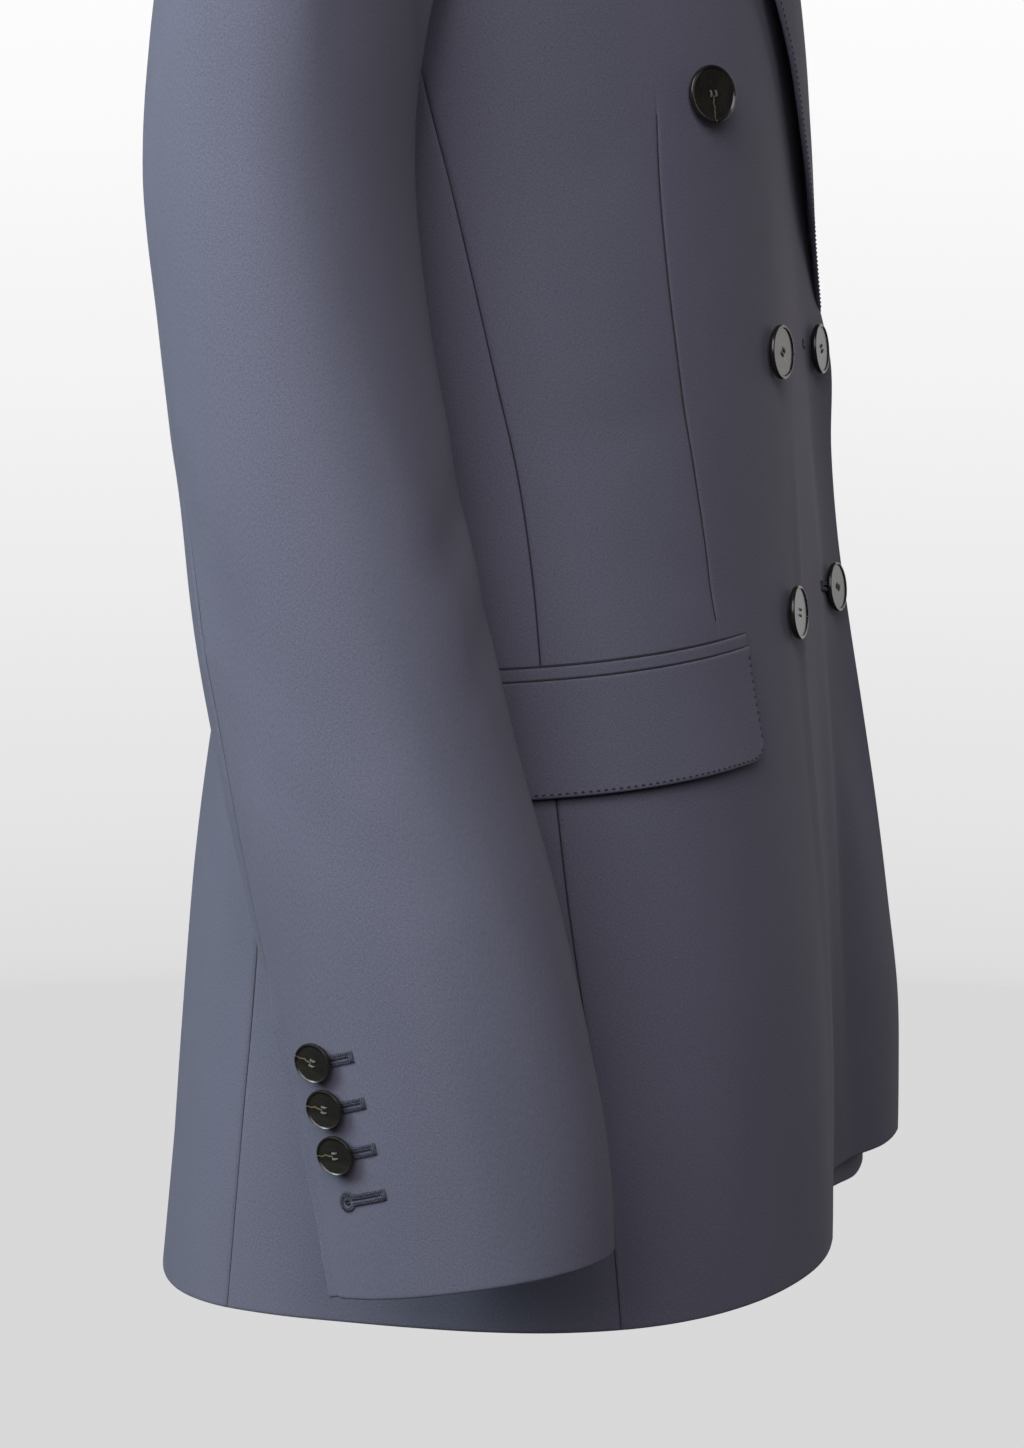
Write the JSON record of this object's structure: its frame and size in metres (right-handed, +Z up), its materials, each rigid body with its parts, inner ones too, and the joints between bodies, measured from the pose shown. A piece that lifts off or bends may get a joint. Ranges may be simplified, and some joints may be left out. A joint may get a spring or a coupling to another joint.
{
  "type": "double-breasted blazer",
  "caption": "Hip-length tailored blazer in its worn, hollow shape, with an overlapping buttoned front, peaked lapels, flap pockets and long set-in sleeves with buttoned cuffs.",
  "frame": {"origin": "the wearer mount, at the neck on the garment's middle plane, level with the inner ends of the shoulder seams", "axes": "+Z up along the standing wearer, -Y towards the front that closes, -X towards the wearer's right side"},
  "size_m": [0.589, 0.303, 0.7712],
  "materials": {
    "suiting": "smooth matt wool twill in slate grey-blue",
    "button": "dark horn look with a polished rim"
  },
  "bodies": {
    "root": {"front_right": "suiting", "front_left": "suiting", "lapel_right": "suiting", "lapel_left": "suiting", "collar_stand": "suiting", "collar_fall": "suiting", "side_right": "suiting", "side_left": "suiting", "back_right": "suiting", "back_left": "suiting", "sleeve_upper_right": "suiting", "sleeve_upper_left": "suiting", "sleeve_under_right": "suiting", "sleeve_under_left": "suiting", "pocket_jet_right": "suiting", "pocket_jet_left": "suiting", "pocket_flap_right": "suiting", "pocket_flap_left": "suiting", "button_1_right": "button", "button_1_left": "button", "button_2_right": "button", "button_2_left": "button", "button_3_right": "button", "button_3_left": "button", "cuff_button_right_1": "button", "cuff_button_right_2": "button", "cuff_button_right_3": "button", "cuff_button_left_1": "button", "cuff_button_left_2": "button", "cuff_button_left_3": "button"}
  },
  "joints": []
}
